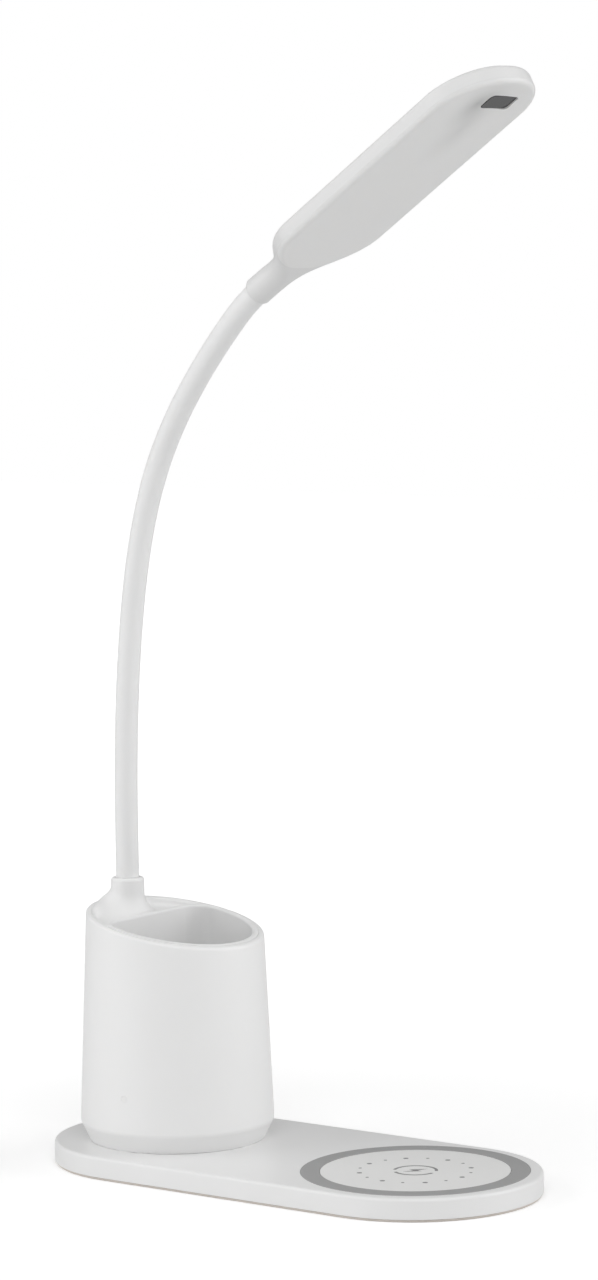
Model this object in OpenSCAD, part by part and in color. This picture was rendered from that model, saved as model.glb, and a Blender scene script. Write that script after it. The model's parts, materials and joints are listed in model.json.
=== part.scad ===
// Desk lamp on a thin base, with a pen cup, a bendable neck and a phone charging pad.
// Millimetres. Z = 0 is the table top, the origin is the centre of the base,
// and X runs from the cup end of the base to the pad end.

/* [Base] */
// Length of the base over its round ends
base_length = 196; // [190:1:206]
// Width of the base, which is also the diameter of its ends
base_width = 90; // [88:1:96]
// Height of the housing above the mat
base_height = 7.3; // [7:0.1:9]
// Thickness of the housing's walls
base_wall = 1.6; // [1.3:0.1:2]
// Radius of the housing's upper edge
base_edge = 1.2; // [0.6:0.1:1.5]
// Thickness of the bottom cover
cover_thickness = 1.4; // [1:0.1:1.6]
// Thickness of the anti-slip mat
mat_thickness = 1; // [0.6:0.1:2]
// Distance from the base's edge in to the mat's edge
mat_inset = 2.5; // [1.5:0.5:5]
// Thickness of the steel ballast plate
ballast_thickness = 1.4; // [1:0.1:1.6]
// Distance from the housing's inner wall in to the ballast plate
ballast_inset = 5; // [3:0.5:8]
// Radius of the posts that take the cover screws
post_r = 2.6; // [2.2:0.1:3.2]
// Distance from the base's edge in to the cover screws
post_inset = 7; // [6:0.5:9]
// Distance of the side screws from the middle of the base, along its length
post_x = 26; // [24:1:30]

/* [Charging pad] */
// Outer radius of the grip ring
ring_outer_r = 40.5; // [38:0.5:41]
// Outer radius of the pale disc inside the ring
pad_r = 33.5; // [30:0.5:36]
// Depth of the seat that the disc and the ring lie in
pad_depth = 0.8; // [0.6:0.1:0.9]
// Height of the grip ring above the housing
ring_rise = 0.2; // [0.1:0.1:0.5]
// Outer radius of the charging coil
coil_outer_r = 22; // [20:0.5:25]
// Inner radius of the charging coil
coil_inner_r = 10; // [8:0.5:12]
// Thickness of the charging coil
coil_thickness = 1; // [0.8:0.1:1.1]
// Thickness of the ferrite sheet under the coil
ferrite_thickness = 0.6; // [0.4:0.1:0.8]
// Distance that the ferrite sheet reaches past the coil
ferrite_margin = 1.5; // [1:0.5:3]

/* [Power] */
// Width of the inlet's metal shell
inlet_w = 8.94; // [8.8:0.01:9]
// Height of the inlet's metal shell
inlet_h = 3.16; // [3.1:0.01:3.2]
// Depth of the inlet's metal shell
inlet_depth = 7.4; // [6.5:0.1:9]
// Wall of the inlet's metal shell
inlet_wall = 0.3; // [0.25:0.05:0.4]
// Length of the charger board, along the base
charger_l = 38; // [34:1:40]
// Width of the charger board, across the base
charger_w = 24; // [22:1:26]
// Thickness of the circuit boards
board_thickness = 1; // [0.8:0.1:1.2]
// Radius of a single insulated wire
wire_r = 0.5; // [0.4:0.05:0.55]

/* [Cup] */
// Outer radius of the cup wall at its lower edge
cup_bottom_r = 35.3; // [34:0.1:36.5]
// Outer radius of the cup wall at the middle of the rim
cup_top_r = 32.3; // [31.5:0.1:33.5]
// Height of the middle of the rim above the table
rim_z = 87.7; // [80:0.5:95]
// Slope of the rim, down towards the pad, in degrees
rim_slope = 10.5; // [6:0.5:13]
// Radius of the rim's rounding
rim_edge = 0.9; // [0.6:0.1:0.9]
// Radius of the rounding at the wall's lower edge
cup_edge = 1.9; // [1:0.1:1.9]
// Thickness of the cup wall
cup_wall = 2; // [1.8:0.1:2.4]
// Height of the foot between the base and the cup wall
foot_h = 6; // [5:0.5:8]
// Radius of the foot where it stands on the base
foot_r = 32; // [31:0.5:33]
// Thickness of the foot's floor
foot_floor = 2; // [1.6:0.1:2.4]
// Thickness of the pocket's walls and floor
pocket_wall = 1.6; // [1.4:0.1:1.8]
// Thickness of the sloping deck round the neck
deck_thickness = 2.5; // [2:0.1:4]
// Depth of the dish round the neck, below the rim
dish_depth = 2.5; // [1:0.1:3]
// Width of the lip between the dish and the cup wall
lip_w = 1.5; // [1:0.1:2]
// Radius of the pen pocket
pocket_r = 28.2; // [27:0.1:28.4]
// Distance from the cup's axis back to the pocket's flat wall
pocket_back = 10.5; // [8:0.5:12]
// Radius of the pocket's corners
pocket_corner = 6; // [4:0.5:8]
// Height of the pocket's floor above the base
pocket_floor = 14; // [12.5:0.5:20]
// Radius on which the cup's screws stand
cup_screw_ring = 24; // [22.5:0.5:25]
// Radius of the status light's lens
light_r = 1.2; // [0.9:0.1:1.2]
// Height of the status light above the table
light_z = 28; // [25:0.5:35]
// Direction in which the status light faces, in degrees from X
light_angle = -85; // [-90:1:-75]

/* [Neck] */
// Distance from the cup's axis back to the neck's axis
neck_back = 21.6; // [21:0.1:22]
// Direction in which the neck leans, in degrees about the vertical
neck_yaw = -11; // [-30:1:30]
// Outer radius of the soft sleeve
sleeve_r = 4.25; // [4:0.05:4.5]
// Radius of the steel hose inside the sleeve
hose_r = 3; // [2.6:0.1:3.1]
// Radius of the hose's bore
hose_bore_r = 1.9; // [1.6:0.1:2.1]
// Distance between two bending points
link_length = 20; // [17:0.5:24]
// Gap round the ball at each bending point
ball_gap = 0.3; // [0.2:0.05:0.4]
// Height of the cup's collar above the middle of the rim
collar_rise = 13.3; // [11:0.1:16]
// Outer radius of the cup's collar
collar_r = 6.1; // [5.9:0.1:7]
// Radius of the flare between the collar and the rim
flare_r = 8; // [5:0.5:9]
// Length of neck between the cup's collar and the first bending point
first_stub = 13.9; // [10:0.1:20]
// Length of neck between the last bending point and the head's collar
last_stub = 5.5; // [4.5:0.1:10]
// Depth to which the sleeve goes into each collar
sleeve_grip = 7; // [5:0.5:9]

/* [Head] */
// Length of the head over its round ends, without the collar
head_length = 120.6; // [112:0.1:130]
// Width of the head
head_width = 43.5; // [42:0.1:48]
// Thickness of the head
head_thickness = 6.8; // [6.6:0.1:9]
// Radius of the head's upper and lower edges
head_edge = 1.4; // [0.8:0.1:1.4]
// Wall of the head's casing
head_wall = 1.5; // [1.2:0.1:1.6]
// Thickness of the light panel on the underside
panel_thickness = 1.6; // [1.5:0.1:1.8]
// Length of the collar in front of the head's end
head_collar_l = 25.1; // [23:0.1:28]
// Outer radius of the head's collar
head_collar_r = 5.4; // [5.3:0.1:6]
// Height of the collar's axis above the head's underside
head_collar_z = 5; // [4.5:0.1:5.5]
// Size of the dark sensor window along the head
window_l = 7.5; // [6:0.5:9]
// Size of the dark sensor window across the head
window_w = 12; // [9:0.5:13]
// Distance from the head's far end in to the window's centre
window_inset = 15; // [12:0.1:16]
// Sideways distance of the window from the head's centre line
window_side = 5.4; // [0:0.1:6]
// Depth of the dimple round the window
dimple_depth = 0.6; // [0.3:0.1:0.7]
// Radius of the dimple round the window
dimple_r = 10; // [9.5:0.5:11]
// Length of the lamp board
led_board_l = 80; // [76:1:82]
// Width of the lamp board
led_board_w = 34; // [30:1:36]

/* [Fits] */
// Gap between parts that are fitted into each other
fit = 0.05; // [0.03:0.01:0.1]
// Core radius of the small screws
screw_r = 1; // [0.9:0.05:1.1]
// Head radius of the small screws
screw_head_r = 1.9; // [1.7:0.1:2]

/* [Hidden] */
$fn = 96;
LINKS = 12;

// Angle by which each link turns from the one before it, in the pose shown, in degrees
neck_bends = [0, 2, 2, 2.5, 3, 5, 7, 9.5, 7.5, 5, 4, 12];
// Colours
WHITE = "#f2f2f1";
OPAL = "#e9e9e7";
GREY = "#a3a3a3";
DARK = "#4f4f50";
STEEL = "#a9adb2";
COPPER = "#b87440";
BOARD = "#2f6b45";
CHIP = "#f0e0a0";

// Longer than anything that a cutter has to pass through
FAR = 200;
// Reach of a cutter past the face it opens
OVER = 1;
// Gap round inner parts that only have to stay clear of each other
loose = 0.5;
// Depth of the cover's seats for the screw heads, and the height of such a head
seat_depth = 0.9;
head_h = 0.8;
// Radius of the hole that the wires take from the base into the cup
wire_hole_r = 5;
// Radius of the stubs that circuit boards stand on, and their distance from a board's edges
stub_r = 1.5;
stub_inset = 2.5;

// Heights in the base, from the table up
cover_z = mat_thickness;
cavity_z = cover_z + cover_thickness;
base_top = mat_thickness + base_height;
cavity_top = base_top - base_wall;
ferrite_z = cavity_top - coil_thickness - ferrite_thickness - 2 * fit;
inlet_z = cavity_top - inlet_h / 2 - fit;
charger_z = inlet_z - board_thickness / 2;
charger_y = base_width / 2 - base_wall - loose - charger_w / 2;
charger_top = charger_z + board_thickness;
charger_edge = charger_y - charger_w / 2 + 1.5;
lead_z = charger_top + wire_r + 0.02;
end_x = (base_length - base_width) / 2;
cup_x = -end_x;
pad_x = end_x;
base_posts = concat(
    [for (s = [-1, 1]) [s * (base_length / 2 - post_inset), 0]],
    [for (sx = [-1, 1], sy = [-1, 1]) [sx * post_x, sy * (base_width / 2 - post_inset)]]
);

// Heights and radii in the cup
wall_z = base_top + foot_h;
rim_tan = tan(rim_slope);
pocket_z = base_top + pocket_floor;
insert_z = pocket_z - pocket_wall;
control_z = base_top + foot_floor + 2;
control_r = foot_r - 6;
control_top = control_z + board_thickness;
cup_screw_angles = [0, 105, 255];
screw_grip = 5;
function cup_r(z) = cup_bottom_r + (cup_top_r - cup_bottom_r) * (z - wall_z) / (rim_z - wall_z);
function rim_height(x) = rim_z - rim_tan * x;

// The neck's bending points, in the plane that the neck leans in
collar_z = rim_z + collar_rise;
neck_x = cup_x - neck_back;
function lean(k) = k == 0 ? 0 : lean(k - 1) + neck_bends[k - 1];
function bend_point(k) = k == 1
    ? [0, collar_z + first_stub]
    : bend_point(k - 1) + link_length * [sin(lean(k - 1)), cos(lean(k - 1))];
lip = 1.3 * sqrt(pow(sleeve_r + ball_gap, 2) - pow(sleeve_r, 2));
bore_r = hose_r + fit;
wire_side = wire_r + 0.1;
hose_grip = 6;
ferrule_top = collar_z - sleeve_grip;
seat_z = ferrule_top - 9;
boss_end = seat_z - 3;
thread_r = 3.8;
thread_end = boss_end - 9;
nut_r = 6.3;
nut_h = 4.5;

// The head, measured from the last bending point along the collar's axis
head_r = head_width / 2;
head_centre = last_stub + head_collar_l + head_r;
head_span = head_length - head_width;
wire_reach = 6;
swell_front = 8;
swell_back = 24;
swell_side = 8;
swell_low = 0.3;
swell_drop = 1.8;
seat_top = head_thickness - head_wall;
led_l = 2.8;
led_w = 3.5;
led_h = 0.6;
led_margin = 4;
lamp_board_t = 0.8;
lamp_z = seat_top - 1.2 - lamp_board_t;
lamp_screw_r = 0.75;
lamp_screw_head_r = 1.8;
lamp_screw_head_h = 0.6;
reflector_t = 0.3;
window_corner = 1.5;

// Solid with straight sides and round ends, its upper edge rounded
module rounded_bar(length, width, height, edge) {
    half = width / 2;
    span = length - width;
    for (s = [-1, 1]) translate([s * span / 2, 0, 0]) rotate_extrude() edge_profile(half, height, edge);
    translate([-span / 2, 0, 0]) rotate([90, 0, 90]) linear_extrude(span) {
        edge_profile(half, height, edge);
        mirror([1, 0]) edge_profile(half, height, edge);
    }
}

// Half of that solid's cross-section
module edge_profile(half, height, edge) {
    square([half, height - edge]);
    square([half - edge, height]);
    translate([half - edge, height - edge]) intersection() {
        circle(edge);
        square(edge);
    }
}

// Plain solid with straight sides and round ends
module bar(length, width, height) {
    span = length - width;
    for (s = [-1, 1]) translate([s * span / 2, 0, 0]) cylinder(r = width / 2, h = height);
    translate([-span / 2, -width / 2, 0]) cube([span, width, height]);
}

// Box with its vertical corners rounded
module plate(length, width, height, corner) {
    for (sx = [-1, 1], sy = [-1, 1])
        translate([sx * (length / 2 - corner), sy * (width / 2 - corner), 0])
            cylinder(r = corner, h = height, $fn = 32);
    translate([-length / 2 + corner, -width / 2, 0]) cube([length - 2 * corner, width, height]);
    translate([-length / 2, -width / 2 + corner, 0]) cube([length, width - 2 * corner, height]);
}

// Flat ring
module ring(outer, inner, height) {
    difference() {
        cylinder(r = outer, h = height);
        translate([0, 0, -1]) cylinder(r = inner, h = height + 2);
    }
}

// Straight wire between two points
module wire(from, to) {
    d = to - from;
    translate(from)
        rotate([0, acos(d[2] / norm(d)), atan2(d[1], d[0])])
            cylinder(r = wire_r, h = norm(d), $fn = 24);
}

// Screw that points up, with its head's underside at the origin
module screw(length, head_h) {
    translate([0, 0, -head_h]) difference() {
        cylinder(r = screw_head_r, h = head_h, $fn = 32);
        translate([0, 0, -1]) cylinder(r = 0.6, h = 1 + head_h / 2, $fn = 6);
    }
    cylinder(r = screw_r, h = length, $fn = 32);
}

// ---- Base ----

module base_housing() {
    color(WHITE) difference() {
        translate([0, 0, cover_z]) rounded_bar(base_length, base_width, base_height, base_edge);
        difference() {
            translate([0, 0, cover_z - OVER])
                bar(base_length - 2 * base_wall, base_width - 2 * base_wall, cavity_top - cover_z + OVER);
            for (p = base_posts)
                translate([p[0], p[1], cavity_z + fit]) cylinder(r = post_r, h = base_height);
            translate([0, charger_y, charger_top]) for (sx = [-1, 1], sy = [-1, 1])
                translate([sx * (charger_l / 2 - stub_inset), sy * (charger_w / 2 - stub_inset), 0])
                    cylinder(r = stub_r, h = base_height);
        }
        for (p = base_posts)
            translate([p[0], p[1], 0]) cylinder(r = screw_r + fit, h = cavity_top - 0.3);
        translate([pad_x, 0, base_top - pad_depth]) cylinder(r = ring_outer_r + fit, h = pad_depth + OVER);
        cup_holes(cavity_top - OVER, base_wall + 2 * OVER);
        inlet_shape(inlet_depth + OVER, fit);
    }
}

// Places its children at one of the screws that hold the cup
module at_cup_screw(angle, z) {
    translate([cup_x, 0, z]) rotate([0, 0, angle]) translate([cup_screw_ring, 0, 0]) children();
}

// Holes through the base's top and the cup's foot for the screws and the wires
module cup_holes(z, height) {
    for (a = cup_screw_angles) at_cup_screw(a, z) cylinder(r = screw_r + 3 * fit, h = height);
    translate([cup_x, 0, z]) cylinder(r = wire_hole_r, h = height);
}

module base_cover() {
    color(WHITE) difference() {
        inset = base_wall + fit;
        translate([0, 0, cover_z]) bar(base_length - 2 * inset, base_width - 2 * inset, cover_thickness);
        for (p = base_posts) translate([p[0], p[1], 0]) {
            cylinder(r = screw_r + 3 * fit, h = FAR);
            cylinder(r = screw_head_r + fit, h = cover_z + seat_depth);
        }
    }
}

module base_screws() {
    color(STEEL) for (p = base_posts)
        translate([p[0], p[1], cover_z + seat_depth]) screw(cavity_top - cover_z - seat_depth - 0.7, head_h);
}

module anti_slip_mat() {
    color(GREY) bar(base_length - 2 * mat_inset, base_width - 2 * mat_inset, mat_thickness);
}

module ballast_plate() {
    inset = base_wall + ballast_inset;
    color(STEEL) difference() {
        translate([0, 0, cavity_z]) bar(base_length - 2 * inset, base_width - 2 * inset, ballast_thickness);
        for (p = base_posts) translate([p[0], p[1], 0]) cylinder(r = post_r + loose, h = FAR);
        translate([-inlet_w / 2 - 2, base_width / 2 - base_wall - inlet_depth - 4, 0])
            cube([inlet_w + 4, FAR, FAR]);
    }
}

// ---- Charging pad ----

module charging_pad() {
    color(OPAL) translate([pad_x, 0, base_top - pad_depth]) cylinder(r = pad_r, h = pad_depth);
}

module grip_ring() {
    color(GREY) translate([pad_x, 0, base_top - pad_depth])
        ring(ring_outer_r, pad_r + fit, pad_depth + ring_rise);
}

module charging_coil() {
    color(COPPER) translate([pad_x, 0, cavity_top - coil_thickness - fit])
        ring(coil_outer_r, coil_inner_r, coil_thickness);
}

module ferrite_sheet() {
    color(DARK) translate([pad_x, 0, ferrite_z])
        cylinder(r = coil_outer_r + ferrite_margin, h = ferrite_thickness);
}

module coil_leads() {
    reach = coil_outer_r + wire_r + fit;
    color(DARK) for (s = [0, 1])
        wire([pad_x + reach * cos(150 + 6 * s), reach * sin(150 + 6 * s), lead_z],
             [charger_l / 2 - 6 - 3 * s, charger_edge, lead_z]);
}

// ---- Power ----

// Outline of the inlet, from the back face of the base forwards
module inlet_shape(depth, gap) {
    round_r = inlet_h / 2 + gap;
    span = inlet_w - inlet_h;
    translate([0, base_width / 2, inlet_z]) rotate([90, 0, 0]) translate([0, 0, inlet_depth - depth]) {
        for (s = [-1, 1]) translate([s * span / 2, 0, 0]) cylinder(r = round_r, h = depth);
        translate([-span / 2, -round_r, 0]) cube([span, 2 * round_r, depth]);
    }
}

module usb_inlet() {
    tongue_w = 6.4;
    tongue_t = 0.7;
    color(STEEL) difference() {
        inlet_shape(inlet_depth, 0);
        translate([0, OVER, 0]) inlet_shape(inlet_depth, -inlet_wall);
    }
    color(DARK) translate([-tongue_w / 2, base_width / 2 - inlet_depth, inlet_z - tongue_t / 2])
        cube([tongue_w, inlet_depth - 1, tongue_t]);
}

module charger_board() {
    color(BOARD) difference() {
        translate([0, charger_y, charger_z]) plate(charger_l, charger_w, board_thickness, 1);
        inlet_shape(inlet_depth + OVER, fit);
        translate([-inlet_w / 2 - fit, base_width / 2 - inlet_depth - fit, 0])
            cube([inlet_w + 2 * fit, FAR, FAR]);
    }
}

module supply_lead() {
    rise_x = cup_x + 2;
    rise_z = lead_z + wire_r + fit;
    color(DARK) for (s = [-1, 1]) {
        wire([-charger_l / 2 + 8 + s * 2, charger_edge, lead_z], [rise_x, s * wire_side * 2, lead_z]);
        wire([rise_x, s * wire_side * 2, rise_z], [rise_x, s * wire_side * 2, control_z - fit]);
    }
}

module charger_parts() {
    room = cavity_top - charger_top - fit;
    color(DARK) translate([0, charger_y, charger_top]) {
        translate([-13, -4, 0]) plate(7, 7, room, 1);
        translate([0, -6, 0]) plate(5, 5, room * 0.8, 0.3);
        translate([12, 6, 0]) plate(4, 4, room * 0.8, 0.3);
    }
}

// ---- Cup ----

// Everything under the sloping plane of the rim, lowered by drop
module under_rim(drop) {
    translate([cup_x, 0, rim_z - drop]) rotate([0, rim_slope, 0])
        translate([-FAR / 2, -FAR / 2, -FAR]) cube(FAR);
}

// Space inside the cup wall from z upwards, at a distance in from its outer face
module inside_cup(z, distance) {
    top = collar_z + 5;
    translate([cup_x, 0, z]) cylinder(r1 = cup_r(z) - distance, r2 = cup_r(top) - distance, h = top - z);
}

module cup_shell() {
    color(WHITE) difference() {
        hull() {
            translate([cup_x, 0, wall_z + cup_edge]) rotate_extrude()
                translate([cup_r(wall_z + cup_edge) - cup_edge, 0]) circle(cup_edge, $fn = 32);
            for (a = [0 : 5 : 355]) {
                reach = cup_r(rim_height(cup_top_r * cos(a))) - rim_edge;
                translate([cup_x + reach * cos(a), reach * sin(a), rim_height(reach * cos(a)) - rim_edge])
                    sphere(rim_edge, $fn = 16);
            }
        }
        inside_cup(wall_z - OVER, cup_wall);
        light_way(light_r + fit, FAR);
    }
}

// The pocket's outline: a circle cut by a flat wall, with round corners
module pocket_outline(grow) {
    r = pocket_r + grow;
    corner = pocket_corner + grow;
    back = pocket_back + grow;
    corner_x = -back + corner;
    corner_y = sqrt(pow(r - corner, 2) - pow(corner_x, 2));
    turn = atan2(corner_y, corner_x);
    polygon(concat(
        [for (i = [0 : 48]) r * [cos(-turn + 2 * turn * i / 48), sin(-turn + 2 * turn * i / 48)]],
        [for (i = [1 : 12]) [corner_x, corner_y] + corner * [cos(turn + (180 - turn) * i / 12),
                                                             sin(turn + (180 - turn) * i / 12)]],
        [for (i = [0 : 11]) [corner_x, -corner_y] + corner * [cos(180 + (180 - turn) * i / 12),
                                                              sin(180 + (180 - turn) * i / 12)]]
    ));
}

// Space of the dish, from the cup's lip to the pocket's walls
module neck_dish() {
    difference() {
        inside_cup(insert_z, cup_wall + fit + lip_w);
        under_rim(dish_depth);
        translate([cup_x, 0, insert_z]) linear_extrude(FAR) pocket_outline(pocket_wall);
    }
}

// Flared boss that the neck stands in
module neck_boss() {
    neck_r = collar_r - flare_r * rim_tan;
    translate([neck_x, 0, boss_end]) rotate_extrude() edge_profile(collar_r, collar_z - boss_end, 0.6);
    translate([neck_x, 0, rim_height(-neck_back) - dish_depth]) rotate([0, rim_slope, 0]) rotate_extrude()
        difference() {
            translate([0, -1]) square([neck_r + flare_r, flare_r + 1]);
            translate([neck_r + flare_r, flare_r]) circle(flare_r);
        }
}

module cup_insert() {
    post_z = base_top + foot_floor;
    post_h = insert_z - post_z + OVER;
    hole_h = screw_grip + 2 * OVER;
    color(WHITE) difference() {
        union() {
            intersection() {
                inside_cup(insert_z, cup_wall + fit);
                union() {
                    difference() {
                        intersection() {
                            under_rim(0);
                            translate([cup_x, 0, insert_z]) union() {
                                difference() {
                                    cylinder(r = FAR / 2, h = FAR);
                                    translate([-cup_x, 0, -insert_z]) under_rim(dish_depth + deck_thickness);
                                }
                                linear_extrude(FAR) pocket_outline(pocket_wall);
                            }
                        }
                        neck_dish();
                    }
                    neck_boss();
                }
            }
            for (a = cup_screw_angles) at_cup_screw(a, post_z) cylinder(r = post_r, h = post_h);
        }
        translate([cup_x, 0, pocket_z]) linear_extrude(FAR) pocket_outline(0);
        neck_bores();
        for (a = cup_screw_angles) at_cup_screw(a, post_z - OVER) cylinder(r = screw_r + fit, h = hole_h);
    }
}

// Bores in the boss: a seat for the sleeve and ferrule, and a through hole for the ferrule's thread
module neck_bores() {
    translate([neck_x, 0, seat_z]) cylinder(r = sleeve_r + 2 * fit, h = FAR);
    translate([neck_x, 0, seat_z - FAR + OVER]) cylinder(r = thread_r + fit, h = FAR);
}

module cup_foot() {
    step_r = cup_r(wall_z) - cup_wall;
    stub_ring = 14;
    color(WHITE) for (a = [45 : 90 : 315])
        translate([cup_x, 0, base_top + foot_floor - 0.2]) rotate([0, 0, a]) translate([stub_ring, 0, 0])
            cylinder(r = stub_r, h = control_z - base_top - foot_floor + 0.2);
    color(WHITE) difference() {
        union() {
            translate([cup_x, 0, base_top]) cylinder(r1 = foot_r, r2 = step_r + 0.4, h = foot_h);
            translate([cup_x, 0, base_top]) cylinder(r = step_r - fit - 0.1, h = foot_h + 3);
        }
        translate([cup_x, 0, base_top + foot_floor]) cylinder(r = foot_r - 3, h = FAR);
        cup_holes(base_top - OVER, foot_floor + 2 * OVER);
    }
}

module cup_screws() {
    length = base_wall + foot_floor + screw_grip;
    color(STEEL) for (a = cup_screw_angles) at_cup_screw(a, cavity_top) screw(length, 1.5 * head_h);
}

// The light pipe climbs between the pocket and the cup wall
pipe_r = (pocket_r + pocket_wall + cup_r(light_z) - cup_wall) / 2;
pipe_z = insert_z - light_r - 0.3;
pipe_foot_r = control_r - 4;

// Level way outwards through the cup wall, from the light pipe's upright part
module light_way(radius, length) {
    translate([cup_x, 0, light_z]) rotate([0, 90, light_angle]) translate([0, 0, pipe_r])
        cylinder(r = radius, h = length, $fn = 32);
}

module status_light() {
    color(OPAL) {
        intersection() {
            light_way(light_r, FAR);
            translate([cup_x, 0, wall_z]) cylinder(r1 = cup_r(wall_z), r2 = cup_r(rim_z), h = rim_z - wall_z);
        }
        translate([cup_x, 0, 0]) rotate([0, 0, light_angle]) {
            translate([pipe_r, 0, pipe_z]) cylinder(r = light_r, h = light_z - pipe_z, $fn = 32);
            translate([pipe_foot_r, 0, pipe_z]) rotate([0, 90, 0])
                cylinder(r = light_r, h = pipe_r - pipe_foot_r, $fn = 32);
            translate([pipe_foot_r, 0, control_top + 1])
                cylinder(r = light_r, h = pipe_z - control_top - 1, $fn = 32);
            for (p = [[pipe_r, light_z], [pipe_r, pipe_z], [pipe_foot_r, pipe_z]])
                translate([p[0], 0, p[1]]) sphere(light_r, $fn = 32);
        }
    }
}

module control_board() {
    color(BOARD) difference() {
        translate([cup_x, 0, control_z]) cylinder(r = control_r, h = board_thickness);
        for (a = cup_screw_angles) at_cup_screw(a, 0) cylinder(r = post_r + loose, h = FAR);
    }
}

module control_parts() {
    room = insert_z - control_top - loose;
    color(DARK) translate([cup_x, 0, control_top]) {
        translate([4, 4, 0]) plate(7, 7, 1.4, 0.4);
        translate([5, -6, 0]) plate(6, 4, 2, 0.4);
        translate([-6, 10, 0]) cylinder(r = 2.5, h = room);
        rotate([0, 0, light_angle]) translate([pipe_foot_r, 0, 0]) plate(1.6, 1.6, 0.8, 0.2);
    }
}

// ---- Neck ----

// Places its children with Z along link k and the origin at the bending point where it starts
module at_link(k) {
    p = bend_point(max(k, 1));
    translate([neck_x, 0, 0]) rotate([0, 0, neck_yaw]) translate([p[0], 0, p[1]])
        rotate([0, lean(k), 0]) children();
}

// Tube from one bending point to the next: a ball at its far end sits in the socket of the next tube
module link_tube(outer, start, end, socket, ball, bore) {
    difference() {
        union() {
            translate([0, 0, start]) cylinder(r = outer, h = end - start);
            if (ball) translate([0, 0, end]) sphere(outer);
        }
        if (socket) {
            sphere(sleeve_r + ball_gap);
            translate([0, 0, -1]) cylinder(r = outer + 1, h = 1 + lip);
        }
        translate([0, 0, start - 1]) cylinder(r = bore, h = end - start + 2 + 2 * outer);
    }
}

stub_start = -first_stub - sleeve_grip;
stub_end = last_stub + sleeve_grip;
function link_start(k) = k == 0 ? stub_start : 0;
function link_end(k) = k == 0 ? 0 : k == LINKS ? stub_end : link_length;

module neck_sleeve(k) {
    color(WHITE) at_link(k) difference() {
        link_tube(sleeve_r, link_start(k), link_end(k), k > 0, k < LINKS, hose_bore_r);
        translate([0, 0, link_start(k) - 1]) cylinder(r = bore_r, h = link_end(k) - link_start(k) + 1);
        if (k < LINKS) translate([0, 0, link_end(k)]) sphere(bore_r);
        if (k == LINKS) translate([0, 0, stub_end - 1]) cylinder(r = bore_r, h = 2);
    }
}

module neck_hose(k) {
    start = k == 0 ? stub_start - hose_grip : 0;
    end = k == LINKS ? stub_end + hose_grip : link_end(k);
    wire_start = k == 0 ? start : sleeve_r + ball_gap + 0.6;
    color(STEEL) at_link(k) link_tube(hose_r, start, end, k > 0, k < LINKS, hose_bore_r);
    color(DARK) at_link(k) for (s = [-1, 1]) translate([0, s * wire_side, wire_start])
        cylinder(r = wire_r, h = end + 1 - wire_start, $fn = 24);
}

module lower_ferrule() {
    color(STEEL) translate([neck_x, 0, 0]) difference() {
        union() {
            translate([0, 0, seat_z]) cylinder(r = sleeve_r, h = ferrule_top - seat_z);
            translate([0, 0, thread_end]) cylinder(r = thread_r, h = seat_z - thread_end);
        }
        translate([0, 0, ferrule_top - hose_grip - fit]) cylinder(r = bore_r, h = FAR);
        cylinder(r = hose_bore_r, h = FAR);
    }
}

module neck_nut() {
    color(STEEL) translate([neck_x, 0, boss_end - nut_h]) difference() {
        cylinder(r = nut_r, h = nut_h, $fn = 6);
        translate([0, 0, -OVER]) cylinder(r = thread_r + fit, h = FAR);
    }
}

module lower_lead() {
    turn_z = thread_end - 1;
    color(DARK) for (s = [-1, 1]) {
        wire([neck_x + 9, s * wire_side, control_top + 0.2], [neck_x + 0.3, s * wire_side, turn_z - 0.5]);
        wire([neck_x, s * wire_side, turn_z], [neck_x, s * wire_side, ferrule_top - hose_grip - fit]);
    }
}

// ---- Head ----

// Places its children with X along the head, Z up through it, and the origin on the underside,
// at the middle of the near end's arc
module at_head() {
    at_link(LINKS) rotate([0, -90, 0]) translate([head_centre, 0, -head_collar_z]) children();
}

// One cross-section of the collar's flare: half width, lower and upper height
module slice(x, half, low, high) {
    r = (high - low) / 2;
    translate([x, 0, low + r]) rotate([0, 90, 0]) for (s = [-1, 1])
        translate([0, s * max(half - r, 0.001), 0]) cylinder(r = r, h = 0.02, $fn = 32);
}

// The collar swells from a round tube to the head's own width and thickness
module collar_flare() {
    n = head_collar_z;
    r = head_collar_r;
    mouth = -head_r - head_collar_l;
    steps = [
        [mouth, r, n - r, n + r],
        [-head_r - swell_front, r, n - r, n + r],
        [-head_r - swell_front / 8, r + swell_side / 2, n - r + swell_low, n + r - swell_low],
        [-head_r + swell_front, r + swell_side, swell_low, n + r - swell_drop],
        [-head_r + swell_back, r + swell_side, swell_low, head_thickness - swell_low]
    ];
    for (i = [0 : len(steps) - 2]) hull() {
        slice(steps[i][0], steps[i][1], steps[i][2], steps[i][3]);
        slice(steps[i + 1][0], steps[i + 1][1], steps[i + 1][2], steps[i + 1][3]);
    }
}

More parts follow.
